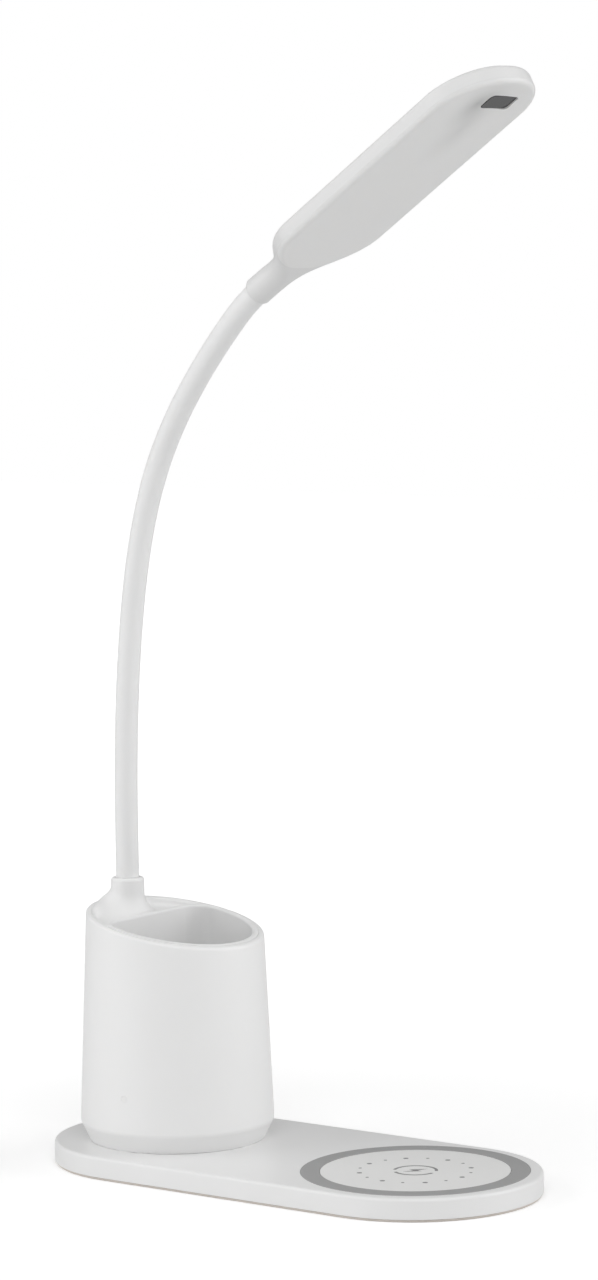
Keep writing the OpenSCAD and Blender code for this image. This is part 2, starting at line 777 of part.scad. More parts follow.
module head_shell() {
    color(WHITE) at_head() difference() {
        union() {
            translate([head_span / 2, 0, panel_thickness])
                rounded_bar(head_length, head_width, head_thickness - panel_thickness, head_edge);
            difference() {
                collar_flare();
                translate([head_span / 2, 0, panel_thickness - FAR]) bar(head_length, head_width, FAR);
            }
        }
        translate([head_span / 2, 0, seat_top - FAR])
            bar(head_length - 2 * head_wall, head_width - 2 * head_wall, FAR);
        translate([-head_centre, 0, head_collar_z]) rotate([0, 90, 0]) {
            cylinder(r = sleeve_r + 2 * fit, h = stub_end + hose_grip + 3);
            cylinder(r = hose_bore_r, h = head_centre - head_r + wire_reach);
        }
    }
    color(WHITE) at_head() for (p = lamp_posts) translate([p[0], p[1], lamp_z + lamp_board_t]) difference() {
        cylinder(r = stub_r + 0.5, h = seat_top - lamp_z - lamp_board_t + 0.3);
        translate([0, 0, -OVER]) cylinder(r = lamp_screw_r + fit, h = 2 * OVER);
    }
}

lamp_x = head_span / 2 - 5;
lamp_posts = [for (s = [-1, 1]) [lamp_x + s * (led_board_l / 2 - led_margin), 0]];
window_x = head_span + head_r - window_inset;

module light_panel() {
    rib_h = 0.8;
    rib_out = head_wall + fit;
    rib_in = rib_out + 0.85;
    color(OPAL) at_head() difference() {
        union() {
            translate([head_span / 2, 0, panel_thickness]) mirror([0, 0, 1])
                rounded_bar(head_length, head_width, panel_thickness, head_edge);
            difference() {
                translate([head_span / 2, 0, panel_thickness])
                    bar(head_length - 2 * rib_out, head_width - 2 * rib_out, rib_h);
                translate([head_span / 2, 0, panel_thickness - OVER])
                    bar(head_length - 2 * rib_in, head_width - 2 * rib_in, rib_h + 2 * OVER);
            }
        }
        ball_r = (pow(dimple_r, 2) + pow(dimple_depth, 2)) / (2 * dimple_depth);
        translate([window_x, window_side, dimple_depth - ball_r]) sphere(ball_r, $fn = 128);
        translate([window_x, window_side, -OVER])
            plate(window_l + 2 * fit, window_w + 2 * fit, FAR, window_corner);
    }
}

module sensor_window() {
    color(DARK) at_head() translate([window_x, window_side, dimple_depth])
        plate(window_l, window_w, panel_thickness - dimple_depth, window_corner);
}

module sensor_board() {
    color(BOARD) at_head() translate([window_x, window_side, panel_thickness + fit])
        plate(window_l + 4, window_w + 4, 0.8, 0.5);
}

module lamp_board() {
    color(WHITE) at_head() difference() {
        translate([lamp_x, 0, lamp_z]) plate(led_board_l, led_board_w, lamp_board_t, 3);
        for (p = lamp_posts) translate([p[0], p[1], 0]) cylinder(r = lamp_screw_r + 3 * fit, h = FAR);
    }
}

// Places its children where each lamp chip stands
module each_led() {
    columns = 10;
    pitch = (led_board_l - 2 * led_margin) / columns;
    for (i = [0 : columns - 1], s = [-1, 1])
        translate([lamp_x + (i - (columns - 1) / 2) * pitch, s * led_board_w / 4, lamp_z - led_h]) children();
}

module lamp_leds() {
    color(CHIP) at_head() each_led() translate([-led_l / 2, -led_w / 2, 0]) cube([led_l, led_w, led_h]);
}

module reflector_sheet() {
    gap = 0.3;
    color(OPAL) at_head() difference() {
        translate([lamp_x, 0, lamp_z - reflector_t - fit]) plate(led_board_l, led_board_w, reflector_t, 3);
        each_led() translate([-led_l / 2 - gap, -led_w / 2 - gap, -OVER])
            cube([led_l + 2 * gap, led_w + 2 * gap, 3 * OVER]);
        for (p = lamp_posts) translate([p[0], p[1], 0]) cylinder(r = lamp_screw_head_r + 0.3, h = FAR);
    }
}

module lamp_screws() {
    color(STEEL) at_head() for (p = lamp_posts)
        translate([p[0], p[1], lamp_z - lamp_screw_head_h]) {
            cylinder(r = lamp_screw_head_r, h = lamp_screw_head_h - fit, $fn = 32);
            cylinder(r = lamp_screw_r, h = lamp_screw_head_h + lamp_board_t + 0.9, $fn = 32);
        }
}

module upper_ferrule() {
    color(STEEL) at_link(LINKS) difference() {
        translate([0, 0, stub_end]) cylinder(r = sleeve_r, h = hose_grip + 2);
        translate([0, 0, stub_end - OVER]) cylinder(r = bore_r, h = OVER + hose_grip + fit);
        cylinder(r = hose_bore_r, h = FAR);
    }
}

module head_lead() {
    start = -head_centre + stub_end + hose_grip + 1 + fit;
    inside = -head_r + head_wall + loose;
    end = lamp_x - led_board_l / 2 + led_margin - stub_r - 2 * loose;
    lead_n = lamp_z + lamp_board_t + wire_r + 0.1;
    color(DARK) at_head() for (s = [-1, 1]) {
        wire([start, s * wire_side, head_collar_z], [inside, s * wire_side, lead_n]);
        wire([inside + fit, s * wire_side, lead_n], [end, s * wire_side, lead_n]);
    }
}

base_housing();
base_cover();
anti_slip_mat();
base_screws();
ballast_plate();
charging_pad();
grip_ring();
charging_coil();
ferrite_sheet();
coil_leads();
charger_board();
charger_parts();
usb_inlet();
cup_shell();
cup_insert();
cup_foot();
cup_screws();
status_light();
control_board();
control_parts();
supply_lead();
lower_lead();
lower_ferrule();
neck_nut();
for (k = [0 : LINKS]) {
    neck_sleeve(k);
    neck_hose(k);
}
head_shell();
light_panel();
lamp_board();
lamp_leds();
reflector_sheet();
lamp_screws();
sensor_window();
sensor_board();
upper_ferrule();
head_lead();
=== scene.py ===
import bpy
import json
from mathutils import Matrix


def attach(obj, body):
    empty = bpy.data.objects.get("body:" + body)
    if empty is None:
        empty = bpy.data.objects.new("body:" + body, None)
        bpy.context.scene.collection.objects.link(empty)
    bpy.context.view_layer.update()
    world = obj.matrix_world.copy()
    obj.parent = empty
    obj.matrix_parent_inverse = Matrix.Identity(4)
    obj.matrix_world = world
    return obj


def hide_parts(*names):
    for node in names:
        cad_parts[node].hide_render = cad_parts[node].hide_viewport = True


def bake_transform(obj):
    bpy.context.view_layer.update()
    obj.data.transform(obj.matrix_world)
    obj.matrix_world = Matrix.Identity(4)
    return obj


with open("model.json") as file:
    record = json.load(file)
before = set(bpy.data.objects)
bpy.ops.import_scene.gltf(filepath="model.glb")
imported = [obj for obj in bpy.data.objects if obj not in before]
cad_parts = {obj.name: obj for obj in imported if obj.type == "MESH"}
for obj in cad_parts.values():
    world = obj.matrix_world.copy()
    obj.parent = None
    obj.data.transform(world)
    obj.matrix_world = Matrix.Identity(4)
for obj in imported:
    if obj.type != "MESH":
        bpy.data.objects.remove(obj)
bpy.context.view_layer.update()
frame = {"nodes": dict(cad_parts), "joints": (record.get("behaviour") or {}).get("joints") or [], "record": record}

# Looks of the desk lamp. Shapes are worked out in millimetres and made in metres, in the frame's
# own axes.
import json
import math

import bpy
import numpy as np
from mathutils import Matrix, Vector

MM = 0.001
NODES = frame["nodes"]

# ---- Sizes, in millimetres ----

# Base and mat
BASE_L = 196.0
BASE_W = 90.0
BASE_TOP = 8.3
MAT_T = 1.0
MAT_INSET = 0.5
MAT_EDGE = 0.25

# Charging pad
PAD_X = 53.0
PAD_R = 33.5
PAD_SEAT = BASE_TOP - 0.8
RING_R = 40.5
RING_TOP = BASE_TOP + 0.2
RING_EDGE = 0.4
PRINT_LIFT = 0.03
PRINT_SINK = 0.02
DOT_COUNT = 16
DOT_CIRCLE_R = 19.9
DOT_RADII = (0.95, 0.6)
ICON_R = 7.4
ICON_LINE = 1.1
ICON_TURN = math.radians(-11)
BOLT = [(1.5, 4.6), (-2.5, -0.6), (-0.4, -0.6), (-1.5, -4.6), (2.5, 0.6), (0.4, 0.6)]

# Cup's wall
CUP_X = -53.0
WALL_Z = 14.3
WALL_LIFT = 0.02
RIM_Z = 87.7
RIM_SLOPE = math.radians(10.5)
RIM_TAN = math.tan(RIM_SLOPE)
RIM_EDGE = 1.3
RIM_INNER_EDGE = 0.05
CUP_BOTTOM_R = 35.3
CUP_TOP_R = 32.3
CUP_WALL = 2.0
# Radius of the wall's lower edge, how far round it turns in degrees, and the wall there
FOOT_BEND = 4.5
FOOT_TURN = 24
FOOT_BEND_WALL = 1.6
LIGHT_Z = 28.0
LIGHT_ANGLE = math.radians(-85)
LIGHT_HOLE_R = 1.25
LIGHT_HOLE_FROM = 28
LIGHT_HOLE_LENGTH = 12

# Cup's foot, and the screws that hold it
FOOT_TOP_R = 34.75
FOOT_R = 31.9
FOOT_INNER_R = 29.2
FOOT_FLOOR = 2.0
FOOT_EDGE = 0.35
SPIGOT_R = 32.9
SPIGOT_LOW = 1
SPIGOT_HIGH = 3
SCREW_RING = 24.0
SCREW_ANGLES = (0, 105, 255)
SCREW_HOLE_R = 1.4

# Cup's insert, with the pen pocket and the neck's collar
POCKET_R = 28.2
POCKET_BACK = 10.5
POCKET_CORNER = 6.0
POCKET_WALL = 1.6
POCKET_Z = BASE_TOP + 14.0
POCKET_EDGE = 0.75
DISH = 2.5
DECK = 2.5
LIP = 1.5
LIP_EDGE = 1.1
RIDGE_EDGE = 0.6
RIDGE_FILLET = 2.0
# Fillet at the lip: its radius, what it gains at the neck, how far off the neck's axis it keeps
# all of that gain, and over what further distance it loses it
LIP_FILLET = 1.6
LIP_FILLET_GROWTH = 6.0
LIP_FILLET_NEAR = 7
LIP_FILLET_RUN = 9
NECK_BACK = 21.6
COLLAR_Z = 102.1
COLLAR_R = 6.1
COLLAR_EDGE = 1.1
FLARE_R = 8.0
SLEEVE_R = 4.25
SLEEVE_WALL = 0.85
SLEEVE_GRIP = 7.0
SLEEVE_END_GAP = 0.5
SEAT_Z = COLLAR_Z - SLEEVE_GRIP - 9
BOSS_END = SEAT_Z - 3
THREAD_R = 3.85
POST_R = 2.6
POST_MIDDLE = 16.0
POST_HALF = 5.7
POST_BORE_R = 1.05
POST_BORE_TOP = 16.3

# Neck
NECK_YAW = math.radians(-11)
LAST_STUB = 5.5

# Head: a runs along it from HEAD_R inside its near end, b across it, and n up from its lit face
HEAD_LEAN = math.radians(59.5)
HEAD_R = 21.5
HEAD_L = 119.6
HEAD_SPAN = HEAD_L - 2 * HEAD_R
HEAD_CORNER = 20.0
HEAD_T = 7.0
HEAD_EDGE = 1.9
HEAD_WALL = 1.5
HEAD_CENTRE = 51.85
# Where the slab starts to swell out of the collar, over what length, and how softly they merge
SWELL_FROM = -42
SWELL_RUN = 36
SWELL_MELT = 16.0
MOUTH = -HEAD_R - 24.85
MOUTH_EDGE = 0.6
COLLAR_N = 5.0
COLLAR_R2 = 5.15
SEAT_END = -HEAD_CENTRE + 21.5
SEAT_PLAY = 0.12
LEAD_BORE_R = 1.9
LEAD_BORE_END = -HEAD_R + 6
LAMP_A = 34.05
LAMP_POSTS = (LAMP_A - 36, LAMP_A + 36)
LAMP_POST_R = 2.0
LAMP_POST_FROM = 4.1
LAMP_BORE_R = 0.8
LAMP_BORE_END = 5.3

# Light panel and window
PANEL_T = 1.6
SEAM = 0.02
RIB_INSET = 1.97
RIB_HALF = 0.42
RIB_MIDDLE = 1.9
RIB_RISE = 0.5
WINDOW = (HEAD_SPAN + HEAD_R - 13.9, 5.4)
WINDOW_SIZE = (7.5, 12.0)
WINDOW_CORNER = 1.5
WINDOW_BACK = 0.85
BOWL_R = 12.0
BOWL_DEPTH = 1.1
BOWL_ASIDE = 4
BOWL_EDGE = 0.5

# Edges sharper than this angle, in degrees, are kept crisp
SHARP = 35
CAD_SHARP = 30
SLEEVE_SHARP = 60
PRINT_SHARP = 20

# Contouring: halvings of an edge, step for the slope, and the share under which a slope is ignored
HALVINGS = 11
SLOPE_STEP = 0.002
FLAT_SHARE = 0.08
FAR = 1e9


# ---- Meshes ----

def add_object(name, verts, faces, material, sharp=SHARP):
    """New smooth-shaded object from vertices in millimetres, with its sharp edges kept crisp."""
    mesh = bpy.data.meshes.new(name)
    mesh.from_pydata((np.asarray(verts, float) * MM).tolist(), [], [list(f) for f in faces])
    mesh.validate()
    mesh.shade_smooth()
    mesh.set_sharp_from_angle(angle=math.radians(sharp))
    obj = bpy.data.objects.new(name, mesh)
    bpy.context.scene.collection.objects.link(obj)
    mesh.materials.append(material)
    return obj


def steps(*stops):
    """Grid coordinates from a start through (end, spacing), (end, spacing) and so on."""
    out = [stops[0]]
    for end, spacing in stops[1:]:
        count = max(1, int(round((end - out[-1]) / spacing)))
        out.extend(np.linspace(out[-1], end, count + 1)[1:])
    return np.array(out)


def contour(field, axes):
    """Vertices and quads of the surface where field is 0, on a grid, with its edges kept sharp."""
    grid = np.meshgrid(*axes, indexing="ij")
    inside = field(*grid) < 0
    shape = [len(a) - 1 for a in axes]
    # Per cell: 6 terms of the slopes' matrix, 3 of its right side, 3 sums of points and a count
    sums = np.zeros((int(np.prod(shape)), 13))
    found = []
    for axis in range(3):
        u, v = (axis + 1) % 3, (axis + 2) % 3
        lower = np.take(inside, range(shape[axis]), axis=axis)
        upper = np.take(inside, range(1, shape[axis] + 1), axis=axis)
        index = np.argwhere(lower != upper)
        keep = ((index[:, u] > 0) & (index[:, u] < shape[u])
                & (index[:, v] > 0) & (index[:, v] < shape[v]))
        index = index[keep]
        low = np.stack([axes[d][index[:, d]] for d in range(3)], 1)
        high = low.copy()
        high[:, axis] = axes[axis][index[:, axis] + 1]
        low_in = lower[tuple(index.T)]
        a, b = low.copy(), high.copy()
        for _ in range(HALVINGS):
            middle = (a + b) / 2
            same = (field(*middle.T) < 0) == low_in
            a[same], b[~same] = middle[same], middle[~same]
        point = (a + b) / 2
        slope = np.empty_like(point)
        for d in range(3):
            step = np.zeros(3)
            step[d] = SLOPE_STEP
            slope[:, d] = field(*(point + step).T) - field(*(point - step).T)
        slope /= np.linalg.norm(slope, axis=1)[:, None] + 1e-12
        product = (slope * point).sum(1)
        row = np.column_stack([
            slope[:, 0] ** 2, slope[:, 0] * slope[:, 1], slope[:, 0] * slope[:, 2],
            slope[:, 1] ** 2, slope[:, 1] * slope[:, 2], slope[:, 2] ** 2,
            slope * product[:, None], point, np.ones(len(point))])
        cells = []
        for du, dv in ((1, 1), (0, 1), (0, 0), (1, 0)):
            cell = index.copy()
            cell[:, u] -= du
            cell[:, v] -= dv
            flat = np.ravel_multi_index(tuple(cell.T), shape)
            for column in range(13):
                sums[:, column] += np.bincount(flat, row[:, column], len(sums))
            cells.append(flat)
        quad = np.column_stack(cells)
        quad[~low_in] = quad[~low_in][:, ::-1]
        found.append(quad)
    used = np.flatnonzero(sums[:, 12])
    s = sums[used]
    mass = s[:, 9:12] / s[:, 12:]
    matrix = s[:, [0, 1, 2, 1, 3, 4, 2, 4, 5]].reshape(-1, 3, 3)
    right = s[:, 6:9] - np.einsum("nij,nj->ni", matrix, mass)
    values, vectors = np.linalg.eigh(matrix)
    inverse = np.where(values > FLAT_SHARE * values[:, -1:], 1 / np.maximum(values, 1e-9), 0)
    shift = np.einsum("nij,nj,nkj,nk->ni", vectors, inverse, vectors, right)
    where = np.stack(np.unravel_index(used, shape), 1)
    low = np.stack([axes[d][where[:, d]] for d in range(3)], 1)
    high = np.stack([axes[d][where[:, d] + 1] for d in range(3)], 1)
    verts = np.clip(mass + shift, low, high)
    number = np.full(len(sums), -1)
    number[used] = np.arange(len(used))
    return verts, number[np.concatenate(found)]


def ring_faces(around, count):
    """Quads between closed profiles of count points that stand in a ring."""
    faces = []
    for i in range(around):
        a, b = i * count, ((i + 1) % around) * count
        for j in range(count):
            k = (j + 1) % count
            faces.append((a + j, b + j, b + k, a + k))
    return faces


def turned(profile, centre, segments):
    """Vertices and faces of a closed profile of (radius, height) turned about centre's vertical."""
    turn = np.linspace(0, 2 * math.pi, segments, endpoint=False)
    radius = np.array([p[0] for p in profile])
    verts = np.stack([centre[0] + np.outer(np.cos(turn), radius),
                      centre[1] + np.outer(np.sin(turn), radius),
                      np.tile([p[1] for p in profile], (segments, 1))], 2).reshape(-1, 3)
    return verts, ring_faces(segments, len(profile))


def arc(centre, radius, start, end, count):
    """Points on an arc, with angles in degrees. The radius may be a pair, for an ellipse."""
    rx, ry = radius if isinstance(radius, tuple) else (radius, radius)
    angles = np.radians(np.linspace(start, end, count))
    return [(centre[0] + rx * math.cos(t), centre[1] + ry * math.sin(t)) for t in angles]


# ---- Distances, in millimetres, negative inside ----

def join(a, b, radius):
    """Union of two fields, with a fillet of that radius in the corner between them."""
    return (np.maximum(radius, np.minimum(a, b))
            - np.hypot(np.maximum(radius - a, 0), np.maximum(radius - b, 0)))


def meet(a, b, radius):
    """Intersection of two fields, with the edge between them rounded to that radius."""
    return (np.minimum(-radius, np.maximum(a, b))
            + np.hypot(np.maximum(radius + a, 0), np.maximum(radius + b, 0)))


def melt(a, b, reach):
    """Union of two fields that run into each other softly over that reach."""
    h = np.clip(0.5 + 0.5 * (b - a) / reach, 0, 1)
    return b + (a - b) * h - reach * h * (1 - h)


def cornered(x, y):
    """Distance from the square corner that two fields at right angles make."""
    return np.minimum(np.maximum(x, y), 0) + np.hypot(np.maximum(x, 0), np.maximum(y, 0))


# ---- Materials ----

def new_material(name):
    material = bpy.data.materials.new(name)
    material.use_nodes = True
    tree = material.node_tree
    shader = next(n for n in tree.nodes if n.type == "BSDF_PRINCIPLED")
    place = tree.nodes.new("ShaderNodeTexCoord")
    return material, tree, shader, place.outputs["Object"]


def noise(tree, place, scale, detail, stretch=None):
    node = tree.nodes.new("ShaderNodeTexNoise")
    node.inputs["Scale"].default_value = scale
    node.inputs["Detail"].default_value = detail
    if stretch:
        mapping = tree.nodes.new("ShaderNodeMapping")
        mapping.inputs["Scale"].default_value = stretch
        tree.links.new(place, mapping.inputs["Vector"])
        place = mapping.outputs["Vector"]
    tree.links.new(place, node.inputs["Vector"])
    return node.outputs["Fac"]


def mixed(tree, fac, first, second):
    node = tree.nodes.new("ShaderNodeMix")
    node.data_type = "RGBA"
    tree.links.new(fac, node.inputs["Factor"])
    node.inputs["A"].default_value = (*first, 1)
    node.inputs["B"].default_value = (*second, 1)
    return node.outputs["Result"]


def ranged(tree, fac, low, high):
    node = tree.nodes.new("ShaderNodeMapRange")
    node.inputs["To Min"].default_value = low
    node.inputs["To Max"].default_value = high
    tree.links.new(fac, node.inputs["Value"])
    return node.outputs["Result"]


def bumped(tree, shader, height, strength, distance):
    node = tree.nodes.new("ShaderNodeBump")
    node.inputs["Strength"].default_value = strength
    node.inputs["Distance"].default_value = distance
    tree.links.new(height, node.inputs["Height"])
    tree.links.new(node.outputs["Normal"], shader.inputs["Normal"])


def plastic(name, colour, rough=0.42, vary=0.012, grain=0.3, gloss=0.4, scatter=0.0):
    """Moulded plastic or rubber: slightly uneven in colour and roughness, with a fine grain."""
    material, tree, shader, place = new_material(name)
    broad = noise(tree, place, 38.0, 3.0)
    fine = noise(tree, place, 2600.0, 2.0)
    light = tuple(c * (1 + vary) for c in colour)
    dark = tuple(c * (1 - vary) for c in colour)
    tree.links.new(mixed(tree, broad, dark, light), shader.inputs["Base Color"])
    tree.links.new(ranged(tree, fine, rough - 0.05, rough + 0.05), shader.inputs["Roughness"])
    shader.inputs["Specular IOR Level"].default_value = gloss
    if scatter:
        shader.inputs["Subsurface Weight"].default_value = scatter
        shader.inputs["Subsurface Radius"].default_value = (1.0, 0.9, 0.8)
        shader.inputs["Subsurface Scale"].default_value = 0.001
    bumped(tree, shader, fine, grain, 0.00004)
    return material


def metal(name, colour, rough=0.3, stretch=(1.0, 1.0, 1.0), rings=0.0):
    """Plated or drawn metal with fine streaks, or with rings wound round its length."""
    material, tree, shader, place = new_material(name)
    streak = noise(tree, place, 900.0, 4.0, stretch)
    dark = tuple(c * 0.85 for c in colour)
    light = tuple(min(1, c * 1.1) for c in colour)
    tree.links.new(mixed(tree, streak, dark, light), shader.inputs["Base Color"])
    tree.links.new(ranged(tree, streak, rough - 0.08, rough + 0.1), shader.inputs["Roughness"])
    shader.inputs["Metallic"].default_value = 1.0
    if rings:
        wave = tree.nodes.new("ShaderNodeTexWave")
        wave.wave_type = "BANDS"
        wave.bands_direction = "Z"
        wave.inputs["Scale"].default_value = rings
        tree.links.new(place, wave.inputs["Vector"])
        bumped(tree, shader, wave.outputs["Fac"], 0.8, 0.0003)
    else:
        bumped(tree, shader, streak, 0.2, 0.00003)
    return material


SLOT_MATERIALS = {
    "white_housing": plastic("satin_white_base", (0.80, 0.80, 0.798), 0.4),
    "white_cup": plastic("satin_white_cup", (0.83, 0.83, 0.828), 0.42, scatter=0.05),
    "white_insert": plastic("satin_white_insert", (0.81, 0.81, 0.808), 0.5),
    "cover_plastic": plastic("plain_white_cover", (0.78, 0.78, 0.775), 0.5, grain=0.5),
    "mat_rubber": plastic("mat_rubber", (0.68, 0.63, 0.58), 0.7, 0.03, 0.8, 0.2),
    "steel": metal("zinc_steel", (0.62, 0.63, 0.65), 0.35),
    "hose_steel": metal("wound_steel", (0.55, 0.56, 0.58), 0.32, rings=260.0),
    "pad_disc": plastic("satin_pad", (0.81, 0.81, 0.802), 0.36, gloss=0.35),
    "ring_rubber": plastic("ring_rubber", (0.34, 0.34, 0.34), 0.62, 0.03, 0.6, 0.25),
    "copper": metal("enamelled_copper", (0.62, 0.33, 0.18), 0.3, (1.0, 1.0, 6.0)),
    "ferrite": plastic("ferrite", (0.07, 0.07, 0.075), 0.5, 0.1, 0.4),
    "wire": plastic("wire_sleeve", (0.05, 0.05, 0.055), 0.45, 0.08, 0.2),
    "circuit_board": plastic("solder_mask", (0.03, 0.16, 0.08), 0.3, 0.12, 0.3, 0.5),
    "board_parts": plastic("board_parts", (0.035, 0.035, 0.04), 0.4, 0.1, 0.4),
    "light_pipe": plastic("light_pipe", (0.82, 0.82, 0.815), 0.3, 0.01, 0.1, 0.4, scatter=0.05),
    "sleeve_silicone": plastic("sleeve_silicone", (0.80, 0.80, 0.798), 0.5, 0.01, 0.3, 0.35,
                               scatter=0.08),
    # The head's white is darker than the cup's though it is the same plastic: painted shade, so the head shows
    # less bright under the same softboxes.
    "white_head": plastic("satin_white_head_shaded", (0.72, 0.72, 0.718), 0.4),
    "panel_opal": plastic("opal_panel", (0.775, 0.775, 0.77), 0.34, 0.006, 0.12, 0.4,
                          scatter=0.2),
    "lamp_board_white": plastic("lamp_board_white", (0.72, 0.73, 0.73), 0.4, 0.03),
    "lamp_chip": plastic("lamp_chip", (0.80, 0.66, 0.22), 0.3, 0.05, 0.2, 0.5, scatter=0.2),
    "reflector": plastic("reflector_film", (0.85, 0.85, 0.85), 0.25, 0.02, 0.1, 0.5),
    "window_dark": plastic("dark_window", (0.028, 0.028, 0.03), 0.08, 0.1, 0.03, 0.5),
}

slot_of = {part["node"]: part["material_slot"] for part in frame["record"]["subparts"]}
for node_name, node_object in NODES.items():
    node_object.data.materials.clear()
    node_object.data.materials.append(SLOT_MATERIALS[slot_of[node_name]])
    node_object.data.shade_smooth()
    node_object.data.set_sharp_from_angle(angle=math.radians(CAD_SHARP))


def piece(name, verts, faces, slot, body, nodes, sharp=SHARP):
    """A visible piece that stands for the CAD nodes named and rides on the body given, if any."""
    obj = add_object(name, verts, faces, SLOT_MATERIALS[slot], sharp)
    if body:
        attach(obj, body)
    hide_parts(*nodes)
    return obj


# ---- Neck ----

JOINTS = frame["joints"]
POINTS = [np.array(j["pos_m"]) / MM for j in JOINTS]
LINKS = len(POINTS)

lean_side = np.array([math.cos(NECK_YAW), math.sin(NECK_YAW), 0])
upwards = np.array([0, 0, 1.0])
head_b = np.array([-math.sin(NECK_YAW), math.cos(NECK_YAW), 0])
head_a = math.sin(HEAD_LEAN) * lean_side + math.cos(HEAD_LEAN) * upwards
head_n = -math.cos(HEAD_LEAN) * lean_side + math.sin(HEAD_LEAN) * upwards
head_origin = POINTS[-1] + HEAD_CENTRE * head_a - COLLAR_N * head_n


def neck_line(k, t):
    """Points and directions along piece k of the sleeve, for t from 0 to 1, and its two ends.

    The line is a curve that leaves both links straight."""
    joint = POINTS[k - 1]
    if k == 1:
        before = np.array([joint[0], joint[1], COLLAR_Z - SLEEVE_GRIP + SLEEVE_END_GAP])
    else:
        before = (POINTS[k - 2] + joint) / 2
    if k == LINKS:
        after = joint + (LAST_STUB + SLEEVE_GRIP - SLEEVE_END_GAP) * head_a
    else:
        after = (joint + POINTS[k]) / 2
    t = t[:, None]
    line = (1 - t) ** 2 * before + 2 * t * (1 - t) * joint + t ** 2 * after
    slope = 2 * (1 - t) * (joint - before) + 2 * t * (after - joint)
    return line, slope / np.linalg.norm(slope, axis=1)[:, None], before, after


def sleeve_piece(k):
    """One stretch of the soft sleeve, from the middle of one link to the middle of the next."""
    rings = 24 if k in (1, LINKS) else 14
    around = 40
    line, along, before, after = neck_line(k, np.linspace(0, 1, rings + 1))
    side = np.cross(along, head_b)
    side /= np.linalg.norm(side, axis=1)[:, None]
    across = np.cross(along, side)
    verts = []
    for radius in (SLEEVE_R, SLEEVE_R - SLEEVE_WALL):
        for i in range(rings + 1):
            for j in range(around):
                turn = 2 * math.pi * j / around
                verts.append(line[i] + radius * (math.cos(turn) * side[i]
                                                 + math.sin(turn) * across[i]))
    inner = (rings + 1) * around
    faces = []
    for j in range(around):
        n = (j + 1) % around
        for i in range(rings):
            a, b = i * around, (i + 1) * around
            faces.append((a + j, a + n, b + n, b + j))
            faces.append((inner + b + j, inner + b + n, inner + a + n, inner + a + j))
        last = rings * around
        faces.append((inner + j, inner + n, n, j))
        faces.append((last + j, last + n, inner + last + n, inner + last + j))
    nodes = ["neck_sleeve_%d" % k] + (["neck_sleeve_0"] if k == 1 else [])
    obj = piece("sleeve_%02d" % k, verts, faces, "sleeve_silicone", None, nodes, SLEEVE_SHARP)
    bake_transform(obj)


for link in range(1, LINKS + 1):
    sleeve_piece(link)


# ---- Head ----

def head_points(verts):
    verts = np.asarray(verts, float)
    return head_origin + verts[:, :1] * head_a + verts[:, 1:2] * head_b + verts[:, 2:3] * head_n


def outline(a, b):
    """Distance from the head's outline, seen from above."""
    x = np.abs(a - HEAD_SPAN / 2) - (HEAD_L / 2 - HEAD_CORNER)
    y = np.abs(b) - (HEAD_R - HEAD_CORNER)
    return cornered(x, y) - HEAD_CORNER


def head_form(a, b, n):
    """The head's outer form: a flat slab that swells into the round collar at its near end."""
    t = np.clip((a - SWELL_FROM) / SWELL_RUN, 0, 1)
    t = t * t * (3 - 2 * t)
    half = COLLAR_R2 + (HEAD_T / 2 - COLLAR_R2) * t
    middle = COLLAR_N + (HEAD_T / 2 - COLLAR_N) * t
    edge = COLLAR_R2 + (HEAD_EDGE - COLLAR_R2) * t
    out = melt(outline(a, b), np.maximum(np.abs(b) - COLLAR_R2, a), SWELL_MELT) + edge
    rise = np.abs(n - middle) - half + edge
    return meet(cornered(out, rise) - edge, MOUTH - a, MOUTH_EDGE)


def head_shell_field(a, b, n):
    """The casing: the form down to the panel, a skirt round the panel and a backing at its end."""
    form = head_form(a, b, n)
    d = outline(a, b)
    skirt = meet(form + 0.04 * np.clip(1 - d / 2, 0, 1), SEAM - d, 0.06)
    backing = np.maximum(form + 0.25, np.maximum(-0.8 - d, a + 12))
    form = np.minimum(np.maximum(form, PANEL_T - n), np.minimum(skirt, backing))
    cavity = np.maximum(d + HEAD_WALL, n - (HEAD_T - HEAD_WALL))
    posts = np.minimum(np.hypot(a - LAMP_POSTS[0], b), np.hypot(a - LAMP_POSTS[1], b))
    cavity = np.maximum(cavity, -np.maximum(posts - LAMP_POST_R, LAMP_POST_FROM - n))
    form = np.maximum(form, -cavity)
    form = np.maximum(form, -np.maximum(posts - LAMP_BORE_R, n - LAMP_BORE_END))
    off = np.hypot(b, n - COLLAR_N)
    seat = np.maximum(off - (SLEEVE_R + SEAT_PLAY), a - SEAT_END)
    form = meet(form, -seat, 0.25)
    return np.maximum(form, -np.maximum(off - LEAD_BORE_R, a - LEAD_BORE_END))


def window_distance(a, b, grow):
    x = np.abs(a - WINDOW[0]) - (WINDOW_SIZE[0] / 2 + grow - WINDOW_CORNER)
    y = np.abs(b - WINDOW[1]) - (WINDOW_SIZE[1] / 2 + grow - WINDOW_CORNER)
    return cornered(x, y) - WINDOW_CORNER


def panel_field(a, b, n):
    """The opal panel: its face, the rib behind its edge, the shallow bowl and the window's hole."""
    d = outline(a, b)
    form = np.maximum(meet(head_form(a, b, n), d, 0.08), n - PANEL_T)
    rib = np.maximum(np.abs(d + RIB_INSET) - RIB_HALF, np.abs(n - RIB_MIDDLE) - RIB_RISE)
    form = np.minimum(form, rib)
    ball = (BOWL_R ** 2 + BOWL_DEPTH ** 2) / (2 * BOWL_DEPTH)
    bowl = np.sqrt((a - WINDOW[0]) ** 2 + (b - WINDOW[1] + BOWL_ASIDE) ** 2
                   + (n - BOWL_DEPTH + ball) ** 2) - ball
    form = meet(form, -bowl, BOWL_EDGE)
    return np.maximum(form, -window_distance(a, b, 0.05))


